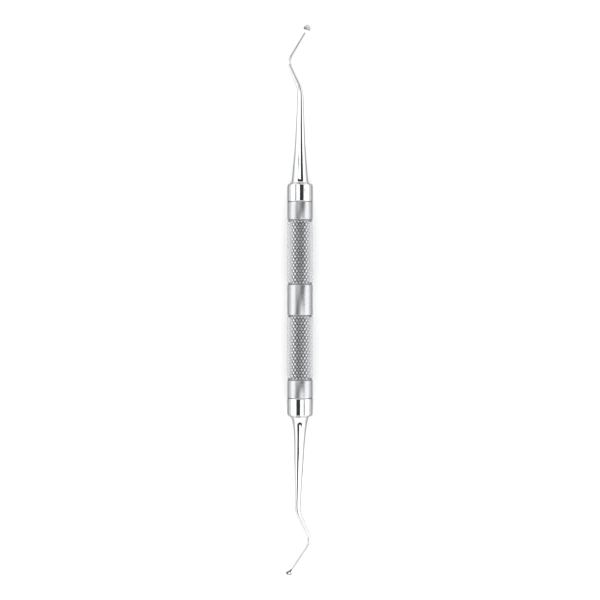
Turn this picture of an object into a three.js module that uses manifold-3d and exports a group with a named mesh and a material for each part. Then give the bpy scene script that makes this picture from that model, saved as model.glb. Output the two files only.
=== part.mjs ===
// Double-ended dental elevator: two small dished blades on double-bent shanks, each soldered into a
// collar that closes one end of a hollow knurled handle.
// Millimetres. The instrument lies on its handle: +X runs along the handle to the upper end, both shanks
// are bent in the horizontal plane, +Z is up, and the origin is the middle of the handle's axis.
import * as THREE from "three";
import { mergeVertices } from "three/addons/utils/BufferGeometryUtils.js";
import Module from "manifold-3d";

const wasm = await Module();
wasm.setup();

// ---------- driving dimensions ----------
const HANDLE_RADIUS = 4; // to the flats of its facets, one of which faces straight down
const HANDLE_WALL = 0.8;
const HANDLE_SPAN = 74; // from the front face of one collar's boss to the other's
const COLLAR_LENGTH = 5.6;
const BOSS = { radius: 3.15, height: 0.25 }; // the low step on the collar's front face
const SPIGOT_LENGTH = 6; // the part of a collar that is pressed into the tube
const TANG = { radius: 1.5, length: 9 }; // the part of a working end that is soldered into its collar
const FOOT = { radius: 2.7, height: 0.4 }; // the short parallel band where a cone starts
const FRONT_CHAMFER = 0.35;
const SEAM_CHAMFER = 0.15; // on both sides of the joint between collar and tube
const FIT_GAP = 0.03; // left between pieces that are pressed or soldered together

const GRIP = { start: 6, length: 20 }; // knurled band, counted from each end of the tube
const GROOVE = { width: 0.8, depth: 0.3 }; // turned on both sides of a knurled band

const HANDLE_FACETS = 32;
const SHANK_FACETS = 20;
const SHANK_STEP = 0.9; // between two rings of a shank
const BLADE_STEP = 0.22;

// Each end starts as a straight turned blank, with radii at distances from the boss: [distance, radius].
// Its axis is then bent to corners, [along, sideways], of which the last is the middle of the blade's rim.
// The blade is a thin disc. Its neck, as long as given here, spreads from the shank and meets the disc at
// an angle counted from the tip. The blade's face looks up (1) or down (-1).
const UPPER_END = {
  radii: [[0.4, 2.7], [4.5, 2.25], [9.5, 1.84], [14.5, 1.54], [20.5, 1.3], [26.5, 1.06], [30, 0.9],
    [34, 0.78], [39, 0.66], [43, 0.58], [48, 0.54]],
  corners: [[3, 0], [30, -0.15], [38.8, 3.85], [47.8, -1.5], [50.6, -2.75]],
  blade: { radius: 1.2, neck: 1.4, joinAngle: 110, face: 1 },
};
const LOWER_END = {
  radii: [[0.4, 2.7], [1.4, 2.36], [2.8, 2.12], [5.5, 1.84], [9, 1.62], [14, 1.44], [19, 1.22], [24, 1.05],
    [30, 0.9], [35, 0.8], [39, 0.7], [43, 0.62], [48, 0.55]],
  corners: [[3, 0], [30.3, -0.8], [39.6, 3.5], [48.3, -2.3], [50.8, -4.1]],
  blade: { radius: 1.28, neck: 1.8, joinAngle: 76, face: -1 },
};
const BEND_REACH = [2.5, 2.2, 2, 1]; // how far before each corner its bend starts

const BLADE_FLATNESS = 0.26; // a blade's thickness as a share of its width, before its face is ground
const NECK_CURVE = 1.4; // a neck spreads along this power of the way: 1 would be a straight cone
const SHOULDER_SLOPE = 0.3; // lean of the wall between a blade's neck and its ground face
const DISH = { depth: 0.14, reach: 0.8, facets: 40 }; // the hollow ground into a face, its reach as a share

// ---------- materials ----------
const metal = (color, roughness) => new THREE.MeshStandardMaterial({ color, roughness, metalness: 1 });
const mirrorSteel = () => metal(0xdfe1e4, 0.05);
const satinSteel = () => metal(0xc9cbce, 0.35);
const silverSolder = () => metal(0xd9d6cb, 0.15);

// ---------- helpers ----------
function named(name, geometry, material) {
  const mesh = new THREE.Mesh(geometry, material);
  mesh.name = name;
  return mesh;
}

// A body turned about the X axis from [along, radius] pairs, listed so that its outside runs along +X.
function turned(profile, facets, radiusScale = 1) {
  const points = profile.map(([along, radius]) => new THREE.Vector2(radius * radiusScale, along));
  const halfFacet = Math.PI / facets;
  return new THREE.LatheGeometry(points, facets, halfFacet).rotateZ(-Math.PI / 2);
}

// The same with its radii measured to the flats, for the handle and what fits round or inside it.
function turnedToFlats(profile) {
  return turned(profile, HANDLE_FACETS, 1 / Math.cos(Math.PI / HANDLE_FACETS));
}

// A number for any distance, from [distance, number] pairs, on a smooth curve through them.
function smoothTable(pairs) {
  const curve = new THREE.CatmullRomCurve3(pairs.map(([x, y]) => new THREE.Vector3(x, y, 0)));
  const samples = curve.getPoints(20 * pairs.length);
  return (x) => {
    const next = samples.findIndex((sample) => sample.x >= x);
    if (next < 0) return samples.at(-1).y;
    if (next === 0) return samples[0].y;
    const [before, after] = [samples[next - 1], samples[next]];
    return THREE.MathUtils.mapLinear(x, before.x, after.x, before.y, after.y);
  };
}

function solidOf(geometry) {
  const bare = geometry.clone();
  bare.deleteAttribute("normal");
  bare.deleteAttribute("uv");
  const merged = mergeVertices(bare, 1e-4);
  const vertProperties = merged.attributes.position.array;
  const triVerts = new Uint32Array(merged.index.array);
  return new wasm.Manifold(new wasm.Mesh({ numProp: 3, vertProperties, triVerts }));
}

function geometryOf(solid) {
  const { vertProperties, triVerts } = solid.getMesh();
  const geometry = new THREE.BufferGeometry();
  geometry.setAttribute("position", new THREE.BufferAttribute(vertProperties, 3));
  geometry.setIndex(new THREE.BufferAttribute(triVerts, 1));
  return geometry;
}

// ---------- handle ----------
function handleTube() {
  const half = HANDLE_SPAN / 2 - BOSS.height - COLLAR_LENGTH - FIT_GAP;
  const bore = HANDLE_RADIUS - HANDLE_WALL;
  const groove = (start) => [
    [start, HANDLE_RADIUS],
    [start + GROOVE.width / 4, HANDLE_RADIUS - GROOVE.depth],
    [start + (3 * GROOVE.width) / 4, HANDLE_RADIUS - GROOVE.depth],
    [start + GROOVE.width, HANDLE_RADIUS],
  ];
  const outside = [-1, 1].flatMap((side) => {
    const gripEnds = [half - GRIP.start, half - GRIP.start - GRIP.length];
    const middles = gripEnds.map((end) => side * end).sort((a, b) => a - b);
    return middles.flatMap((middle) => groove(middle - GROOVE.width / 2));
  });
  const profile = [
    [-half, bore],
    [-half, HANDLE_RADIUS - SEAM_CHAMFER],
    [-half + SEAM_CHAMFER, HANDLE_RADIUS],
    ...outside,
    [half - SEAM_CHAMFER, HANDLE_RADIUS],
    [half, HANDLE_RADIUS - SEAM_CHAMFER],
    [half, bore],
    [-half, bore],
  ];
  return named("handle_tube", turnedToFlats(profile), satinSteel());
}

// The collar, its boss and its spigot, bored for the tang. Its boss's front face is at zero.
function collar() {
  const front = -BOSS.height;
  const back = front - COLLAR_LENGTH;
  const spigotRadius = HANDLE_RADIUS - HANDLE_WALL - FIT_GAP;
  const boreRadius = TANG.radius + FIT_GAP;
  return turnedToFlats([
    [back - SPIGOT_LENGTH, boreRadius],
    [back - SPIGOT_LENGTH, spigotRadius - SEAM_CHAMFER],
    [back - SPIGOT_LENGTH + SEAM_CHAMFER, spigotRadius],
    [back, spigotRadius],
    [back, HANDLE_RADIUS - SEAM_CHAMFER],
    [back + SEAM_CHAMFER, HANDLE_RADIUS],
    [front - FRONT_CHAMFER, HANDLE_RADIUS],
    [front, HANDLE_RADIUS - FRONT_CHAMFER],
    [front, BOSS.radius],
    [0, BOSS.radius],
    [0, boreRadius],
    [back - SPIGOT_LENGTH, boreRadius],
  ]);
}

// The fillet of solder in the corner between the boss and the cone's foot.
function solderRing() {
  const inside = FOOT.radius + FIT_GAP;
  return turnedToFlats([
    [FIT_GAP, inside],
    [FIT_GAP, BOSS.radius],
    [FOOT.height - FIT_GAP, inside + FIT_GAP],
    [FOOT.height - FIT_GAP, inside],
    [FIT_GAP, inside],
  ]);
}

// ---------- working ends ----------
// The bent axis: straight stretches joined by bends, starting at the tang's inner end.
function bentAxis(corners) {
  const points = [[-TANG.length, 0], ...corners].map(([x, y]) => new THREE.Vector3(x, y, 0));
  const axis = new THREE.CurvePath();
  let start = points[0];
  BEND_REACH.forEach((reach, i) => {
    const [before, corner, after] = points.slice(i, i + 3);
    const bendStart = corner.clone().add(before.clone().sub(corner).setLength(reach));
    const bendEnd = corner.clone().add(after.clone().sub(corner).setLength(reach));
    axis.add(new THREE.LineCurve3(start, bendStart));
    axis.add(new THREE.QuadraticBezierCurve3(bendStart, corner, bendEnd));
    start = bendEnd;
  });
  axis.add(new THREE.LineCurve3(start, points.at(-1)));
  return axis;
}

// The straight blank, before it is bent: tang, foot, cone, shank, neck and a round blade.
function blankProfile({ radii, blade }, tipAlong) {
  const radiusAt = smoothTable(radii);
  const discCentre = tipAlong - blade.radius;
  const neckStart = discCentre - blade.neck;
  const joinAngle = THREE.MathUtils.degToRad(blade.joinAngle);
  const discPoint = (angle) => [
    discCentre + blade.radius * Math.cos(angle),
    blade.radius * Math.sin(angle),
  ];
  const [joinAlong, joinRadius] = discPoint(joinAngle);

  const shankRings = Math.round((neckStart - FOOT.height) / SHANK_STEP);
  const shank = Array.from({ length: shankRings }, (_, i) => {
    const along = THREE.MathUtils.lerp(FOOT.height, neckStart, i / shankRings);
    return [along, radiusAt(along)];
  });
  const neckRings = Math.ceil((joinAlong - neckStart) / BLADE_STEP);
  const neck = Array.from({ length: neckRings }, (_, i) => {
    const share = i / neckRings;
    const along = THREE.MathUtils.lerp(neckStart, joinAlong, share);
    return [along, THREE.MathUtils.lerp(radiusAt(neckStart), joinRadius, share ** NECK_CURVE)];
  });
  const rimRings = Math.ceil((joinAngle * blade.radius) / BLADE_STEP);
  const rim = Array.from({ length: rimRings + 1 }, (_, i) => discPoint(joinAngle * (1 - i / rimRings)));
  return [
    [-TANG.length, 0],
    [-TANG.length, TANG.radius],
    [FIT_GAP, TANG.radius],
    [FIT_GAP, FOOT.radius],
    ...shank,
    ...neck,
    ...rim,
  ];
}

// Flattens the blade end of the blank, and lays the blank along its bent axis.
function forged(blank, axis, blade) {
  const length = axis.getLength();
  const discCentre = length - TANG.length - blade.radius;
  const up = new THREE.Vector3(0, 0, 1);
  const position = blank.getAttribute("position");
  const point = new THREE.Vector3();
  for (let i = 0; i < position.count; i++) {
    point.fromBufferAttribute(position, i);
    const share = THREE.MathUtils.clamp((point.x + TANG.length) / length, 0, 1);
    const flattened = THREE.MathUtils.smoothstep(point.x, discCentre - blade.neck, discCentre);
    const across = up.clone().cross(axis.getTangent(share));
    const placed = axis.getPoint(share).addScaledVector(across, point.y);
    placed.z = point.z * THREE.MathUtils.lerp(1, BLADE_FLATNESS, flattened);
    position.setXYZ(i, placed.x, placed.y, placed.z);
  }
  return blank;
}

// What the grinder takes off a blade's face, centred on the disc: down to the middle plane, then a dish.
function grinding({ radius, face }) {
  const reach = radius + 1;
  const shoulder = -radius / 2;
  const outline = new THREE.Shape([
    new THREE.Vector2(shoulder, 0),
    new THREE.Vector2(reach, 0),
    new THREE.Vector2(reach, reach),
    new THREE.Vector2(shoulder - SHOULDER_SLOPE * reach, reach),
  ]);
  const flat = new THREE.ExtrudeGeometry(outline, { depth: 2 * reach, bevelEnabled: false });
  flat.translate(0, 0, -reach).rotateX(Math.PI / 2);
  const dishReach = DISH.reach * radius;
  const ballRadius = (dishReach ** 2 + DISH.depth ** 2) / (2 * DISH.depth);
  const ball = new THREE.SphereGeometry(ballRadius, DISH.facets, DISH.facets);
  ball.rotateX(Math.PI / 2).translate(radius - dishReach, 0, ballRadius - DISH.depth);
  const cut = solidOf(flat).add(solidOf(ball));
  return face > 0 ? cut : cut.rotate([180, 0, 0]);
}

function workingEnd({ corners, blade, radii }) {
  const axis = bentAxis(corners);
  const heading = axis.getTangent(1);
  const centre = axis.getPoint(1).addScaledVector(heading, -blade.radius);
  const profile = blankProfile({ radii, blade }, axis.getLength() - TANG.length);
  const end = solidOf(forged(turned(profile, SHANK_FACETS), axis, blade));
  const turn = THREE.MathUtils.radToDeg(Math.atan2(heading.y, heading.x));
  const cut = grinding(blade).rotate([0, 0, turn]).translate([centre.x, centre.y, 0]);
  return geometryOf(end.subtract(cut));
}

// ---------- assembly ----------
// One end of the instrument, fitted at the front face of its collar's boss.
function fittedEnd(end, shape, turn) {
  const fitted = new THREE.Group();
  fitted.rotation.z = turn;
  const pieces = [
    named(end + "_collar", collar(), mirrorSteel()),
    named(end + "_solder_ring", solderRing(), silverSolder()),
    named(end + "_working_end", workingEnd(shape), mirrorSteel()),
  ];
  pieces.forEach((piece) => {
    piece.position.x = HANDLE_SPAN / 2;
    fitted.add(piece);
  });
  return fitted;
}

const instrument = new THREE.Group();
instrument.add(handleTube());
instrument.add(fittedEnd("upper", UPPER_END, 0));
instrument.add(fittedEnd("lower", LOWER_END, Math.PI));

export default instrument;
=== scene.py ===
"""A double-ended dental elevator, lying on its handle on a pale table.

The frame is that of the solids: +X runs along the handle to the upper end, both shanks are bent in the
horizontal plane, and +Z is up. Pieces are modelled in millimetres, and made metres when they are placed.
"""

import math
from contextlib import contextmanager

import bmesh
import bpy
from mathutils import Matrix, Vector


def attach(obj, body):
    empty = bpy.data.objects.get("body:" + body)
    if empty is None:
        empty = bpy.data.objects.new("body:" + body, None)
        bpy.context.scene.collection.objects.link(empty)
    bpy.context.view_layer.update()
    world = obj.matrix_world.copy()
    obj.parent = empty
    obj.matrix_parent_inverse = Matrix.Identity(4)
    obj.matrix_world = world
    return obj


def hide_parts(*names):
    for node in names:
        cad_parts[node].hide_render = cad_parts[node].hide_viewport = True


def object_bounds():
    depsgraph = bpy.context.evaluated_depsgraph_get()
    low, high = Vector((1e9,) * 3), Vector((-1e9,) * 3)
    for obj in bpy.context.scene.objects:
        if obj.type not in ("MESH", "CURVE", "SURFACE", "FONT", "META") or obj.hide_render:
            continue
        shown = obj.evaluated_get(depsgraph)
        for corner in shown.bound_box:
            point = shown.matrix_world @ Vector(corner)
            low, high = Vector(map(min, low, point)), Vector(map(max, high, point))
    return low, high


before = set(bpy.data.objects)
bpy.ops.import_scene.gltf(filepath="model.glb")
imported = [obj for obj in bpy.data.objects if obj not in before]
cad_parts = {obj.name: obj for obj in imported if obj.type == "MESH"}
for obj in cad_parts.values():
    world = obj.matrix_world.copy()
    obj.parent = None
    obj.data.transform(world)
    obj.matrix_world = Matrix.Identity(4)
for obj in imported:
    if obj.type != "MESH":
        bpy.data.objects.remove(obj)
cad_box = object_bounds()

# ---------- driving dimensions, in millimetres ----------
MM = 0.001
HANDLE_RADIUS = 3.995
HANDLE_WALL = 0.8
HANDLE_SPAN = 74  # from the front face of one collar's boss to the other's
COLLAR_LENGTH = 5.6
BOSS_RADIUS = 3.15
BOSS_HEIGHT = 0.25
SPIGOT_LENGTH = 6
TANG_RADIUS = 1.5
TANG_LENGTH = 9
FOOT_RADIUS = 2.7
FRONT_CHAMFER = 0.35
SEAM_CHAMFER = 0.15
FIT_GAP = 0.03
EDGE_BREAK = 0.05  # rounding of every turned edge
EDGE_BREAK_STEPS = 3
EDGE_ANGLE = math.radians(25)  # edges sharper than this are rounded
FILLET_HEIGHT = 0.42  # how far the solder climbs from the boss
WELD = 0.002  # points nearer to each other than this are one point

GRIP_START = 6  # of a knurled band, counted from the end of the tube
GRIP_LENGTH = 20
GROOVE_WIDTH = 0.8
GROOVE_WALL = 0.2  # how much of a groove's width its sloping wall takes
GROOVE_DEPTH = 0.3
KNURL_LENGTH = GRIP_LENGTH - GROOVE_WIDTH + 2 * GROOVE_WALL
KNURL_CHAMFER = 0.25
KNURL_ANGLE = math.radians(30)  # between the flutes and the handle's axis
KNURL_WALL = 0.9  # width of a flute's wall as a share of its depth
FLUTES = 22  # round the handle, in each direction
FLUTE_DEPTH = 0.28
KNURL_SKIRT = 0.95  # the radius that the ends of a knurled band sink to, as a share of their own
KNURL_BACK = 0.94  # the radius of the band's hidden back, as a share of the skirt's

TURNING_STEPS = 128
SHANK_FACETS = 64
BALL_SUBDIVISIONS = 6
SHANK_STEP = 0.5  # between two rings of a shank
RIM_STEP = 0.1  # between two rings of a blade
BEND_STEP = 0.25
SHARP_ANGLE = 30  # degrees between two faces, from which their edge shows as sharp
TURNED_SHARP_ANGLE = 40

# Each end starts as a straight turned blank, with [distance, radius] points from the boss. It is then bent
# to corners, [along, sideways], of which the last is the middle of the blade's rim. The neck spreads from
# the shank and meets the blade's disc at an angle counted from the tip. The face looks up (1) or down (-1).
UPPER_END = {
    "radii": [(0, 2.76), (0.35, 2.64), (0.7, 2.57), (1.3, 2.51), (4.5, 2.25), (9.5, 1.84), (14.5, 1.54),
              (20.5, 1.3), (26.5, 1.06), (30, 0.9), (34, 0.78), (39, 0.66), (43, 0.58), (48, 0.54)],
    "corners": [(3, 0), (30, -0.15), (38.8, 3.85), (47.8, -1.5), (50.58, -2.74)],
    "blade_radius": 1.18,
    "neck": 1.4,
    "join_angle": math.radians(110),
    "face": 1,
}
LOWER_END = {
    "radii": [(0, 2.74), (0.6, 2.6), (1.4, 2.36), (2.8, 2.12), (5.5, 1.84), (9, 1.62), (14, 1.44),
              (19, 1.22), (24, 1.05), (30, 0.9), (35, 0.8), (39, 0.7), (43, 0.62), (48, 0.55)],
    "corners": [(3, 0), (30.3, -0.8), (39.6, 3.49), (48.3, -2.3), (50.78, -4.09)],
    "blade_radius": 1.26,
    "neck": 1.8,
    "join_angle": math.radians(76),
    "face": -1,
}
BEND_REACH = [2.5, 2.2, 2, 1]  # how far before each corner its bend starts
NECK_CURVE = 1.4  # a neck spreads along this power of the way: 1 would be a straight cone
BLADE_FLATNESS = 0.26  # a blade's thickness as a share of its width, before its face is ground
SHOULDER = 0.45  # from a blade's middle back to the wall at the end of its face, as a share of its radius
SHOULDER_SLOPE = 0.3
WEDGE_MARGIN = 1  # how much farther than the blade the grinding wedge reaches
DISH_DEPTH = 0.14
DISH_REACH = 0.8  # of the hollow from its middle to its edge, as a share of the blade's radius

WINDOWLESS = -1  # Blender's rotate operator turns the other way when there is no window


# ---------- hand tools ----------
def only(piece):
    """Selects one piece and nothing else."""
    bpy.ops.object.select_all(action="DESELECT")
    piece.select_set(True)
    bpy.context.view_layer.objects.active = piece


def started(name):
    """Names the primitive that was just added, and puts its place and turn into its mesh."""
    piece = bpy.context.object
    piece.name = name
    only(piece)
    bpy.ops.object.transform_apply(location=True, rotation=True, scale=True)
    return piece


@contextmanager
def editing(piece):
    """Edit mode on one piece, with all of its vertices selected at first."""
    only(piece)
    bpy.ops.object.mode_set(mode="EDIT")
    bpy.ops.mesh.select_mode(type="VERT")
    bpy.ops.mesh.select_all(action="SELECT")
    yield
    bpy.ops.object.mode_set(mode="OBJECT")


def pick(piece, kind, test):
    """In edit mode, selects the vertices, edges or faces that pass a test, and nothing else."""
    bpy.ops.mesh.select_mode(type={"verts": "VERT", "edges": "EDGE", "faces": "FACE"}[kind])
    bpy.ops.mesh.select_all(action="DESELECT")
    mesh = bmesh.from_edit_mesh(piece.data)
    for element in getattr(mesh, kind):
        if test(element):
            element.select_set(True)
    mesh.select_flush_mode()
    bmesh.update_edit_mesh(piece.data)


def modified(piece, kind, **settings):
    """Adds a modifier to a piece and applies it."""
    modifier = piece.modifiers.new(kind.title(), kind)
    for name, value in settings.items():
        setattr(modifier, name, value)
    only(piece)
    bpy.ops.object.modifier_apply(modifier=modifier.name)
    return piece


def carved(piece, tool, operation="DIFFERENCE"):
    """Cuts a piece with a tool, or leaves what both share. What is cut takes the tool's material."""
    modified(piece, "BOOLEAN", object=tool, operation=operation, solver="EXACT", material_mode="TRANSFER")
    bpy.data.objects.remove(tool)
    return piece


def copied(piece, name):
    """A copy of a piece, with its own mesh."""
    only(piece)
    bpy.ops.object.duplicate(linked=False)
    bpy.context.object.name = name
    return bpy.context.object


def moved(piece, along):
    """Moves a piece along the handle."""
    piece.location.x = along
    only(piece)
    bpy.ops.object.transform_apply(location=True, rotation=True, scale=True)
    return piece


def made_metres(piece, turn=0):
    """Takes a piece from millimetres to metres, turned round the vertical axis through the origin."""
    piece.rotation_euler.z = turn
    piece.scale = (MM, MM, MM)
    only(piece)
    bpy.ops.object.transform_apply(location=True, rotation=True, scale=True)
    return piece


def turned(name, profile, steps=TURNING_STEPS):
    """A body turned about the X axis, from [along, radius] points."""
    points = [Vector((along, 0, radius)) for along, radius in profile]
    bpy.ops.object.select_all(action="DESELECT")
    bpy.ops.mesh.primitive_plane_add(size=1, location=points[0])
    piece = started(name)
    with editing(piece):
        bpy.ops.mesh.merge(type="CENTER")
        for before, after in zip(points, points[1:]):
            bpy.ops.mesh.extrude_vertices_move(TRANSFORM_OT_translate={"value": after - before})
        bpy.ops.mesh.select_all(action="SELECT")
        bpy.ops.mesh.spin(steps=steps, angle=math.tau, center=(0, 0, 0), axis=(1, 0, 0))
        bpy.ops.mesh.select_all(action="SELECT")
        bpy.ops.mesh.remove_doubles(threshold=WELD)
        bpy.ops.mesh.normals_make_consistent(inside=False)
    return piece


def edges_broken(piece):
    """Rounds the sharp edges that a lathe leaves."""
    return modified(piece, "BEVEL", width=EDGE_BREAK, segments=EDGE_BREAK_STEPS,
                    limit_method="ANGLE", angle_limit=EDGE_ANGLE)


def smoothed(piece, angle):
    """Shades a piece smooth, except at edges sharper than an angle in degrees."""
    only(piece)
    bpy.ops.object.shade_smooth_by_angle(angle=math.radians(angle))
    return piece


# ---------- handle ----------
TUBE_HALF = HANDLE_SPAN / 2 - BOSS_HEIGHT - COLLAR_LENGTH - FIT_GAP
GRIP_MIDDLE = TUBE_HALF - GRIP_START - GRIP_LENGTH / 2


def grip_recess(middle):
    """Where the tube is turned down for a knurled band and the grooves on both sides of it."""
    half = (GRIP_LENGTH + GROOVE_WIDTH) / 2
    floor = HANDLE_RADIUS - GROOVE_DEPTH
    return [
        (middle - half, HANDLE_RADIUS),
        (middle - half + GROOVE_WALL, floor),
        (middle + half - GROOVE_WALL, floor),
        (middle + half, HANDLE_RADIUS),
    ]


def tube():
    """The turned tube of the handle, before its knurled bands are added."""
    bore = HANDLE_RADIUS - HANDLE_WALL
    blank = turned("knurled_handle", [
        (-TUBE_HALF, bore),
        (-TUBE_HALF, HANDLE_RADIUS - SEAM_CHAMFER),
        (-TUBE_HALF + SEAM_CHAMFER, HANDLE_RADIUS),
        *grip_recess(-GRIP_MIDDLE),
        *grip_recess(GRIP_MIDDLE),
        (TUBE_HALF - SEAM_CHAMFER, HANDLE_RADIUS),
        (TUBE_HALF, HANDLE_RADIUS - SEAM_CHAMFER),
        (TUBE_HALF, bore),
        (-TUBE_HALF, bore),
    ])
    return edges_broken(blank)


def knurl_diamond(half_length, half_width):
    """One raised diamond of the knurl and its staggered neighbour, lying flat. They stand towards -Y."""
    bpy.ops.object.select_all(action="DESELECT")
    bpy.ops.mesh.primitive_circle_add(vertices=4, radius=1, fill_type="NGON", rotation=(math.pi / 2, 0, 0))
    diamond = started("knurl")
    with editing(diamond):
        bpy.ops.transform.resize(value=(half_length, 1, half_width))
        bpy.ops.mesh.inset(thickness=FLUTE_DEPTH * KNURL_WALL, depth=FLUTE_DEPTH)
        bpy.ops.mesh.select_all(action="SELECT")
        bpy.ops.mesh.subdivide(number_cuts=1)
        bpy.ops.mesh.duplicate_move(TRANSFORM_OT_translate={"value": (half_length, 0, half_width)})
    return diamond


def at_ends(vertex):
    """Whether a point is on either end of a knurled band."""
    return abs(vertex.co.x) > KNURL_LENGTH / 2 - WELD


def knurled_sleeve():
    """A band of knurling: diamonds repeated over a flat strip, which is cut to length and rolled up."""
    valley = HANDLE_RADIUS - FLUTE_DEPTH
    half_width = math.pi * valley / FLUTES
    half_length = half_width / math.tan(KNURL_ANGLE)
    columns = math.ceil(KNURL_LENGTH / (2 * half_length)) + 1
    strip = knurl_diamond(half_length, half_width)
    modified(strip, "ARRAY", count=FLUTES, use_relative_offset=False, use_constant_offset=True,
             constant_offset_displace=(0, 0, 2 * half_width), use_merge_vertices=True, merge_threshold=WELD)
    modified(strip, "ARRAY", count=columns, use_relative_offset=False, use_constant_offset=True,
             constant_offset_displace=(2 * half_length, 0, 0), use_merge_vertices=True, merge_threshold=WELD)
    moved(strip, -half_length * (columns - 0.5))
    with editing(strip):
        for end in (-1, 1):
            for inset, clears in ((0, True), (KNURL_CHAMFER, False)):
                bpy.ops.mesh.select_all(action="SELECT")
                bpy.ops.mesh.bisect(
                    plane_co=(end * (KNURL_LENGTH / 2 - inset), 0, 0),
                    plane_no=(end, 0, 0),
                    clear_outer=clears)
    full_turn = math.tau * (FLUTES + 0.5) / FLUTES
    modified(strip, "SIMPLE_DEFORM", deform_method="BEND", deform_axis="X", angle=full_turn)
    with editing(strip):
        bpy.ops.transform.translate(value=(0, -valley, 0))
        bpy.ops.mesh.remove_doubles(threshold=5 * WELD)
        pick(strip, "verts", at_ends)
        bpy.ops.transform.resize(value=(1, KNURL_SKIRT, KNURL_SKIRT), center_override=(0, 0, 0))
        bpy.ops.mesh.extrude_edges_move()
        bpy.ops.transform.resize(value=(1, KNURL_BACK, KNURL_BACK), center_override=(0, 0, 0))
        bpy.ops.mesh.bridge_edge_loops()
        bpy.ops.mesh.select_all(action="SELECT")
        bpy.ops.mesh.normals_make_consistent(inside=False)
    return strip


def handle():
    """The tube with a knurled band near each end."""
    piece = tube()
    near = knurled_sleeve()
    far = copied(near, "far_knurl")
    carved(piece, moved(near, GRIP_MIDDLE), "UNION")
    carved(piece, moved(far, -GRIP_MIDDLE), "UNION")
    return smoothed(piece, SHARP_ANGLE)


# ---------- collars and solder ----------
def collar(name):
    """A collar with its boss, its chamfer and its spigot. The boss's front face is at zero."""
    front = -BOSS_HEIGHT
    back = front - COLLAR_LENGTH
    spigot = HANDLE_RADIUS - HANDLE_WALL - FIT_GAP
    bore = TANG_RADIUS + FIT_GAP
    piece = turned(name, [
        (back - SPIGOT_LENGTH, bore),
        (back - SPIGOT_LENGTH, spigot),
        (back, spigot),
        (back, HANDLE_RADIUS - SEAM_CHAMFER),
        (back + SEAM_CHAMFER, HANDLE_RADIUS),
        (front - FRONT_CHAMFER, HANDLE_RADIUS),
        (front, HANDLE_RADIUS - FRONT_CHAMFER),
        (front, BOSS_RADIUS),
        (0, BOSS_RADIUS),
        (0, bore),
        (back - SPIGOT_LENGTH, bore),
    ])
    edges_broken(piece)
    smoothed(piece, TURNED_SHARP_ANGLE)
    return modified(piece, "WEIGHTED_NORMAL", keep_sharp=True)


def solder_fillet(name):
    """Solder in the corner between boss and cone, drawn up into a hollow curve."""
    base = FIT_GAP
    outer = BOSS_RADIUS - EDGE_BREAK
    inner = FOOT_RADIUS + FIT_GAP
    turns = [math.radians(angle) for angle in range(0, 91, 15)]
    curve = [
        (base + FILLET_HEIGHT * (1 - math.cos(turn)), outer - (outer - inner) * math.sin(turn))
        for turn in turns
    ]
    piece = turned(name, [(base, inner), *curve, (base, inner)])
    return smoothed(piece, TURNED_SHARP_ANGLE)


# ---------- working ends ----------
def radius_at(radii, along):
    """The radius at a distance, on a smooth curve through [distance, radius] points."""
    def slope(i):
        before, after = radii[max(i - 1, 0)], radii[min(i + 1, len(radii) - 1)]
        return (after[1] - before[1]) / (after[0] - before[0])

    i = max(k for k in range(len(radii) - 1) if radii[k][0] <= along)
    (x0, y0), (x1, y1) = radii[i], radii[i + 1]
    width = x1 - x0
    t = (along - x0) / width
    return (y0 * (1 + 2 * t) * (1 - t) ** 2 + y1 * (3 - 2 * t) * t ** 2
            + width * t * (1 - t) * (slope(i) * (1 - t) - slope(i + 1) * t))


def bends_of(corners):
    """Each bend of the shank as (start along the straight blank, length, angle), and the blank's length."""
    path = [Vector((-TANG_LENGTH, 0)), *map(Vector, corners)]
    bends = []
    along = -TANG_LENGTH
    used = 0
    for i, reach in enumerate(BEND_REACH):
        before, corner, after = path[i:i + 3]
        angle = (after - corner).angle_signed(corner - before)
        along += (corner - before).length - used - reach
        length = angle * reach / math.tan(angle / 2)
        bends.append((along, length, angle))
        along += length
        used = reach
    return bends, along + (path[-1] - path[-2]).length - used


def blank_profile(end, tip):
    """The straight turned blank: tang, cone, shank, neck and round blade, as [along, radius] points."""
    disc = end["blade_radius"]
    disc_centre = tip - disc
    neck_start = disc_centre - end["neck"]
    join = end["join_angle"]
    join_along = disc_centre + disc * math.cos(join)
    shank_rings = round(neck_start / SHANK_STEP)
    neck_rings = math.ceil((join_along - neck_start) / RIM_STEP)
    rim_rings = math.ceil(join * disc / RIM_STEP)
    shank = [neck_start * i / shank_rings for i in range(shank_rings)]
    profile = [(along, radius_at(end["radii"], along)) for along in shank]
    thin = radius_at(end["radii"], neck_start)
    for i in range(neck_rings):
        share = i / neck_rings
        along = neck_start + (join_along - neck_start) * share
        profile.append((along, thin + (disc * math.sin(join) - thin) * share ** NECK_CURVE))
    for i in range(rim_rings + 1):
        angle = join * (1 - i / rim_rings)
        profile.append((disc_centre + disc * math.cos(angle), disc * math.sin(angle)))
    tang = [(-TANG_LENGTH, 0), (-TANG_LENGTH, TANG_RADIUS), (FIT_GAP, TANG_RADIUS)]
    return [*tang, (FIT_GAP, profile[0][1]), *profile[1:]]


def forge_blade(piece, profile, end, disc_centre):
    """Flattens the rings of neck and blade. Their height falls to the disc's middle and closes at the tip."""
    neck_start = disc_centre - end["neck"]
    thick = radius_at(end["radii"], neck_start)
    thin = BLADE_FLATNESS * end["blade_radius"]
    with editing(piece):
        for along, radius in profile:
            if neck_start < along and radius > WELD:
                share = min((along - neck_start) / end["neck"], 1)
                past = max(along - disc_centre, 0) / end["blade_radius"]
                flattened = thick + (thin - thick) * share ** 2 * (3 - 2 * share)
                height = flattened * math.sqrt(1 - past ** 2)
                pick(piece, "verts", lambda vertex: abs(vertex.co.x - along) < WELD)
                bpy.ops.transform.resize(value=(1, 1, height / radius), center_override=(along, 0, 0))


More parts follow.
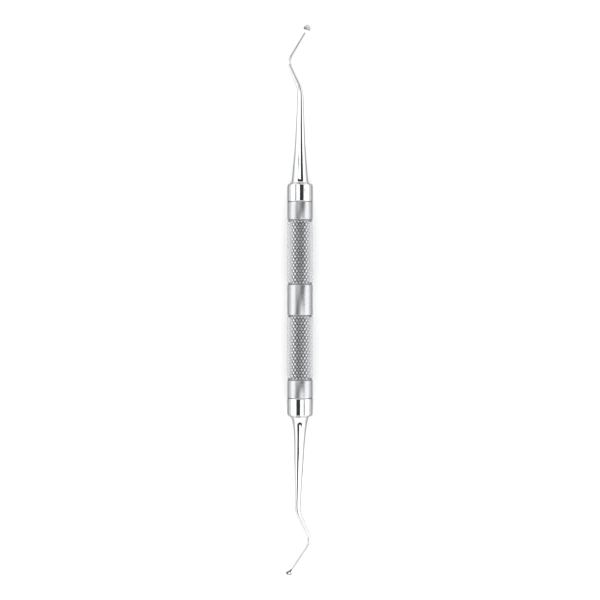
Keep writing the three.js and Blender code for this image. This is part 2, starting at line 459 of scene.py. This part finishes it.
def grinding_wedge(end, shoulder, finish):
    """What takes a blade's face down to its middle plane, with a leaning wall at the neck."""
    reach = end["blade_radius"] + WEDGE_MARGIN
    bpy.ops.object.select_all(action="DESELECT")
    bpy.ops.mesh.primitive_cube_add(
        size=1,
        location=(shoulder + reach, 0, end["face"] * reach / 2),
        scale=(2 * reach, 2 * reach, reach))
    wedge = started("grinding_wedge")
    with editing(wedge):
        pick(wedge, "verts",
             lambda vertex: vertex.co.x < shoulder + reach and abs(vertex.co.z) > reach / 2)
        bpy.ops.transform.translate(value=(-SHOULDER_SLOPE * reach, 0, 0))
    wedge.data.materials.append(finish)
    return wedge


def dishing_ball(end, disc_centre, finish):
    """What hollows a blade's face."""
    dish_reach = DISH_REACH * end["blade_radius"]
    radius = (dish_reach ** 2 + DISH_DEPTH ** 2) / (2 * DISH_DEPTH)
    along = disc_centre + end["blade_radius"] - dish_reach
    bpy.ops.object.select_all(action="DESELECT")
    bpy.ops.mesh.primitive_ico_sphere_add(
        subdivisions=BALL_SUBDIVISIONS,
        radius=radius,
        location=(along, 0, end["face"] * (radius - DISH_DEPTH)))
    ball = started("dishing_ball")
    ball.data.materials.append(finish)
    return ball


def bend_shank(piece, bends):
    """Bends the straight blank at its corners, from the tip inwards, in small even steps."""
    with editing(piece):
        for start, length, angle in reversed(bends):
            steps = max(round(length / BEND_STEP), 1)
            for step in reversed(range(steps)):
                pivot = start + length * (step + 0.5) / steps
                pick(piece, "verts", lambda vertex: vertex.co.x > pivot)
                bpy.ops.transform.rotate(
                    value=WINDOWLESS * angle / steps, orient_axis="Z", center_override=(pivot, 0, 0))


def polish_neck(piece, shoulder):
    """Gives back the polish to what the grinding took beyond a blade's shoulder."""
    with editing(piece):
        bpy.ops.mesh.bisect(plane_co=(shoulder, 0, 0), plane_no=(1, 0, 0))
        pick(piece, "faces", lambda face: face.calc_center_median().x < shoulder)
        piece.active_material_index = 0
        bpy.ops.object.material_slot_assign()


def mark_blank(piece, disc_centre):
    """Keeps each point's place on the straight blank, in metres, so that patterns follow the bends."""
    places = piece.data.attributes.new("blank", "FLOAT_VECTOR", "POINT")
    for place, vertex in zip(places.data, piece.data.vertices):
        place.vector = (vertex.co - Vector((disc_centre, 0, 0))) * MM


def working_end(name, end, polish, satin):
    """A working end: turned straight, forged, hollowed, ground, and bent last."""
    bends, tip = bends_of(end["corners"])
    profile = blank_profile(end, tip)
    piece = turned(name, profile, SHANK_FACETS)
    piece.data.materials.append(polish)
    disc_centre = tip - end["blade_radius"]
    shoulder = disc_centre - SHOULDER * end["blade_radius"]
    forge_blade(piece, profile, end, disc_centre)
    carved(piece, dishing_ball(end, disc_centre, satin))
    carved(piece, grinding_wedge(end, shoulder, satin))
    polish_neck(piece, shoulder)
    mark_blank(piece, disc_centre)
    bend_shank(piece, bends)
    return smoothed(piece, SHARP_ANGLE)


# ---------- shader maths ----------
class Wire:
    """An output of a node. Arithmetic on it adds Math nodes."""

    def __init__(self, nodes, socket):
        self.nodes = nodes
        self.socket = socket

    def __add__(self, other):
        return self.nodes.math("ADD", self, other)

    def __sub__(self, other):
        return self.nodes.math("SUBTRACT", self, other)

    def __rsub__(self, other):
        return self.nodes.math("SUBTRACT", other, self)

    def __mul__(self, other):
        return self.nodes.math("MULTIPLY", self, other)

    def __truediv__(self, other):
        return self.nodes.math("DIVIDE", self, other)

    __radd__ = __add__
    __rmul__ = __mul__


class Nodes:
    """The nodes of a material or of the world."""

    def __init__(self, owner):
        owner.use_nodes = True
        self.tree = owner.node_tree
        self.tree.nodes.clear()

    def add(self, kind, settings=None, inputs=None, output=0):
        """Adds a node, with its settings first and then the values or links of its sockets."""
        node = self.tree.nodes.new("ShaderNode" + kind)
        for name, value in (settings or {}).items():
            setattr(node, name, value)
        for name, value in (inputs or {}).items():
            if isinstance(value, Wire):
                self.tree.links.new(value.socket, node.inputs[name])
            else:
                node.inputs[name].default_value = value
        return Wire(self, node.outputs[output]) if len(node.outputs) else node

    def math(self, operation, *values):
        """A Math node on values and wires."""
        return self.add("Math", {"operation": operation}, dict(enumerate(values)))

    def axes(self, vector):
        """The three coordinates of a vector."""
        split = self.add("SeparateXYZ", {}, {"Vector": vector}).socket.node
        return [Wire(self, split.outputs[axis]) for axis in "XYZ"]

    def step(self, value, start, end):
        """Rises smoothly from 0 at start to 1 at end."""
        return self.add("MapRange", {"interpolation_type": "SMOOTHSTEP"},
                        {"Value": value, "From Min": start, "From Max": end})

    def mix(self, factor, first, second):
        """A colour from the first, at factor 0, to the second, at factor 1."""
        return self.add("Mix", {"data_type": "RGBA"}, {0: factor, 6: first, 7: second}, output=2)

    def noise(self, places, scale, detail=2):
        """Noise from 0 to 1 on places in metres, with a scale of features to a millimetre on each axis."""
        stretched = self.add("Mapping", {"vector_type": "POINT"},
                             {"Vector": places, "Scale": Vector(scale) / MM})
        return self.add("TexNoise", {}, {"Vector": stretched, "Scale": 1, "Detail": detail})

    def bump(self, height, depth, normal=None):
        """A relief, of which depth is the height in millimetres."""
        inputs = {"Height": height, "Distance": depth * MM, "Strength": 1}
        if normal:
            inputs["Normal"] = normal
        return self.add("Bump", {}, inputs)

    def surface(self, color, roughness, normal, edge):
        """Makes a metal of it. Edge is its colour where the surface turns away from the eye."""
        shader = self.add("BsdfPrincipled", {}, {
            "Base Color": color,
            "Roughness": roughness,
            "Metallic": 1,
            "Specular Tint": edge,
            "Normal": normal,
        })
        self.add("OutputMaterial", {}, {"Surface": shader})


# ---------- materials ----------
STEEL = (0.56, 0.565, 0.575, 1)
STEEL_SHADE = (0.46, 0.465, 0.475, 1)
SATIN = (0.46, 0.465, 0.475, 1)
SATIN_SHADE = (0.34, 0.345, 0.355, 1)
GROUND = (0.7, 0.7, 0.715, 1)
GROUND_CLOUD = (0.5, 0.5, 0.515, 1)
# painted shade on a blade's ground face, by its shoulder and at its rim
GROUND_PAINTED_SHADE = (0.17, 0.17, 0.175, 1)
SOLDER = (0.6, 0.595, 0.58, 1)
SOLDER_SHADE = (0.5, 0.495, 0.48, 1)
# grime and painted shade for the valleys of the knurl
VALLEY_GRIME_AND_PAINTED_SHADE = (0.13, 0.13, 0.135, 1)
POLISHED_EDGE = (0.1, 0.1, 0.105, 1)  # what is left of a reflection where the surface turns away
SATIN_EDGE = (0.35, 0.35, 0.36, 1)
SHOULDER_PAINTED_SHADE = (-0.35, 0.55)  # painted shade along a blade from its middle: full up to the first, none from the second
PAINTED_SHADE_WAVER = 0.5  # how far clouds can shift that painted shade
RIM_PAINTED_SHADE = (1.04, 1.12)  # distances from a blade's middle over which painted shade darkens its rim
RIM_SHARE = 0.4  # of the painted shade by the shoulder that the rim gets
CREST_BAND = 0.06  # depth from the crests of the knurl down to where grime and painted shade begin
VALLEY_SHARE = 0.6  # of the grime and painted shade that shows at the bottom of a valley


def polished_shank_steel():
    """Mirror finish, with hair-fine polishing lines that run along the shank and follow its bends."""
    material = bpy.data.materials.new("polished_shank_steel")
    nodes = Nodes(material)
    blank = nodes.add("Attribute", {"attribute_name": "blank"}, output="Vector")
    lines = nodes.noise(blank, (0.25, 14, 14), detail=3)
    ripple = nodes.noise(blank, (0.35, 0.6, 0.6))
    color = nodes.mix(lines, STEEL_SHADE, STEEL)
    relief = nodes.bump(ripple, 0.008)
    nodes.surface(color, 0.03 + lines * 0.07, nodes.bump(lines, 0.0004, relief), POLISHED_EDGE)
    return material


def satin_blade_steel():
    """The ground face of a blade: fine grain, with painted shade that is darkest by the shoulder and a little
    darker at the rim.
    """
    material = bpy.data.materials.new("satin_blade_steel")
    nodes = Nodes(material)
    blank = nodes.add("Attribute", {"attribute_name": "blank"}, output="Vector")
    grain = nodes.noise(blank, (9, 9, 9), detail=4)
    cloud = nodes.noise(blank, (1.2, 1.2, 1.2))
    along, across, _ = nodes.axes(blank)
    from_middle = nodes.math("SQRT", along * along + across * across)
    shade_start, shade_end = SHOULDER_PAINTED_SHADE
    rim_start, rim_end = RIM_PAINTED_SHADE
    # painted shade: darkest by the shoulder's wall, with a share of it at the rim
    painted_shoulder_shade = 1 - nodes.step(along + cloud * PAINTED_SHADE_WAVER * MM, shade_start * MM, shade_end * MM)
    rim = nodes.step(from_middle, rim_start * MM, rim_end * MM)
    color = nodes.mix(cloud, GROUND_CLOUD, GROUND)
    color = nodes.mix(nodes.math("MAXIMUM", painted_shoulder_shade, rim * RIM_SHARE), color, GROUND_PAINTED_SHADE)
    nodes.surface(color, 0.36 + grain * 0.16, nodes.bump(grain, 0.012), SATIN_EDGE)
    return material


def polished_collar_steel():
    """Mirror finish, with faint rings left by the lathe."""
    material = bpy.data.materials.new("polished_collar_steel")
    nodes = Nodes(material)
    places = nodes.add("TexCoord", output="Object")
    rings = nodes.noise(places, (12, 0.4, 0.4), detail=3)
    ripple = nodes.noise(places, (0.5, 0.5, 0.5))
    color = nodes.mix(rings, STEEL_SHADE, STEEL)
    relief = nodes.bump(ripple, 0.015)
    nodes.surface(color, 0.03 + rings * 0.07, nodes.bump(rings, 0.0004, relief), POLISHED_EDGE)
    return material


def satin_handle_steel():
    """Brushed round the handle on a lathe, with handling marks, and dull and darkened with grime and painted
    shade in the valleys of the knurl.
    """
    material = bpy.data.materials.new("satin_handle_steel")
    nodes = Nodes(material)
    places = nodes.add("TexCoord", output="Object")
    rings = nodes.noise(places, (16, 0.5, 0.5), detail=4)
    handling = nodes.noise(places, (0.12, 0.3, 0.3), detail=3)
    _, across, up = nodes.axes(places)
    radius = nodes.math("SQRT", across * across + up * up)
    floor = HANDLE_RADIUS - FLUTE_DEPTH
    valley = 1 - nodes.step(radius, floor * MM, (HANDLE_RADIUS - CREST_BAND) * MM)
    color = nodes.mix(rings, SATIN_SHADE, SATIN)
    # grime and painted shade darken the knurl's valleys
    color = nodes.mix(valley * VALLEY_SHARE, color, VALLEY_GRIME_AND_PAINTED_SHADE)
    roughness = 0.2 + handling * 0.1 + rings * 0.08 + valley * 0.15
    nodes.surface(color, roughness, nodes.bump(rings, 0.002), SATIN_EDGE)
    return material


def silver_solder():
    """Bright solder, a little warmer than steel, with a slightly uneven skin."""
    material = bpy.data.materials.new("silver_solder")
    nodes = Nodes(material)
    places = nodes.add("TexCoord", output="Object")
    skin = nodes.noise(places, (2, 2, 2), detail=3)
    color = nodes.mix(skin, SOLDER_SHADE, SOLDER)
    nodes.surface(color, 0.1 + skin * 0.12, nodes.bump(skin, 0.02), SATIN_EDGE)
    return material


def table_paint():
    """Matt, pale and plain."""
    material = bpy.data.materials.new("table_paint")
    nodes = Nodes(material)
    shader = nodes.add("BsdfPrincipled", {}, {
        "Base Color": (0.86, 0.86, 0.86, 1),
        "Roughness": 0.9,
        "Specular IOR Level": 0,
    })
    nodes.add("OutputMaterial", {}, {"Surface": shader})
    return material


# ---------- studio ----------
SKY = 3.0
DARKNESS = 0.97  # of the strips overhead
SOFT_EDGE = 0.015  # half the width of a strip's soft edge, as a slope
LOWEST_SLOPE = 0.02  # keeps slopes finite at the horizon

# Strips overhead, for each end: from and to along the handle, in degrees from straight up, and what is dark
# there, as (from, to, share of the darkness) across the handle. Both ends' strips meet over its middle.
UPPER_STRIPS = [
    (-3, 8.5, [(-2, 34, 1), (-43, -34, 1)]),
    (8.5, 12.5, [(-43, 50, 1)]),
    (12.5, 18, [(12, 50, 1), (-38, -33, 0.6)]),
    (18, 41, [(-36, 50, 1)]),
]
LOWER_STRIPS = [
    (-3, 12, [(-2, 34, 1), (-43, -34, 1)]),
    (12, 23, [(12, 50, 1), (-38, -33, 0.6)]),
    (23, 31, [(-36, 50, 1)]),
]

# The camera and the table are placed in metres.
CAMERA_HEIGHT = 0.35
FIELD_OF_VIEW = math.radians(30.5)
CLIP_START = 0.01
TABLE_SIZE = 6


def tangent(degrees):
    """The slope of an angle from straight up."""
    return math.tan(math.radians(degrees))


def sky():
    """An even white tent, with dark strips overhead that a polished shank shows as lines along itself.

    Directions are told by two slopes from straight up: reach, along the handle towards an end, and lean,
    across it. The lower end's slopes are the upper end's, turned half round.
    """
    world = bpy.data.worlds.new("studio")
    bpy.context.scene.world = world
    nodes = Nodes(world)
    along, across, up = nodes.axes(nodes.add("TexCoord", output="Generated"))
    height = nodes.math("MAXIMUM", up, LOWEST_SLOPE)

    def between(slope, low, high):
        """1 between two angles from straight up, and 0 outside them, with soft edges."""
        low, high = tangent(low), tangent(high)
        rise = nodes.step(slope, low - SOFT_EDGE, low + SOFT_EDGE)
        return rise * (1 - nodes.step(slope, high - SOFT_EDGE, high + SOFT_EDGE))

    dark = 0
    for side, zones in ((1, UPPER_STRIPS), (-1, LOWER_STRIPS)):
        reach = side * along / height
        lean = side * -1 * across / height
        for start, end, strips in zones:
            shares = [between(lean, left, right) * share for left, right, share in strips]
            dark = sum(shares) * between(reach, start, end) + dark
    shade = nodes.math("MINIMUM", dark, 1) * DARKNESS
    backdrop = nodes.add("Background", {}, {"Strength": (1 - shade) * SKY})
    nodes.add("OutputWorld", {}, {"Surface": backdrop})


def table():
    """A pale floor at the lowest level of the solids."""
    bpy.ops.object.select_all(action="DESELECT")
    bpy.ops.mesh.primitive_plane_add(size=TABLE_SIZE, location=(0, 0, cad_box[0][2]))
    floor = started("table_top")
    floor.data.materials.append(table_paint())


def camera():
    """Straight above the handle's middle, with the upper end at the top of the picture."""
    bpy.ops.object.camera_add(location=(0, 0, CAMERA_HEIGHT), rotation=(0, 0, -math.pi / 2))
    view = bpy.context.object
    view.data.angle = FIELD_OF_VIEW
    view.data.clip_start = CLIP_START
    bpy.context.scene.camera = view


# ---------- assembly ----------
def fit(piece, node, material=None):
    """Stands a finished piece for its solid."""
    if material:
        piece.data.materials.clear()
        piece.data.materials.append(material)
    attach(piece, "root")
    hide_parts(node)


camera()
sky()
table()
bpy.context.scene.view_settings.view_transform = "Standard"

shank_finish = polished_shank_steel()
blade_finish = satin_blade_steel()
collar_finish = polished_collar_steel()
solder_finish = silver_solder()

fit(made_metres(handle()), "handle_tube", satin_handle_steel())
for side, turn, shape in (("upper", 0, UPPER_END), ("lower", math.pi, LOWER_END)):
    end_collar = moved(collar(side + "_end_collar"), HANDLE_SPAN / 2)
    fillet = moved(solder_fillet(side + "_solder_fillet"), HANDLE_SPAN / 2)
    blade = moved(working_end(side + "_blade_and_shank", shape, shank_finish, blade_finish), HANDLE_SPAN / 2)
    fit(made_metres(end_collar, turn), side + "_collar", collar_finish)
    fit(made_metres(fillet, turn), side + "_solder_ring", solder_finish)
    fit(made_metres(blade, turn), side + "_working_end")
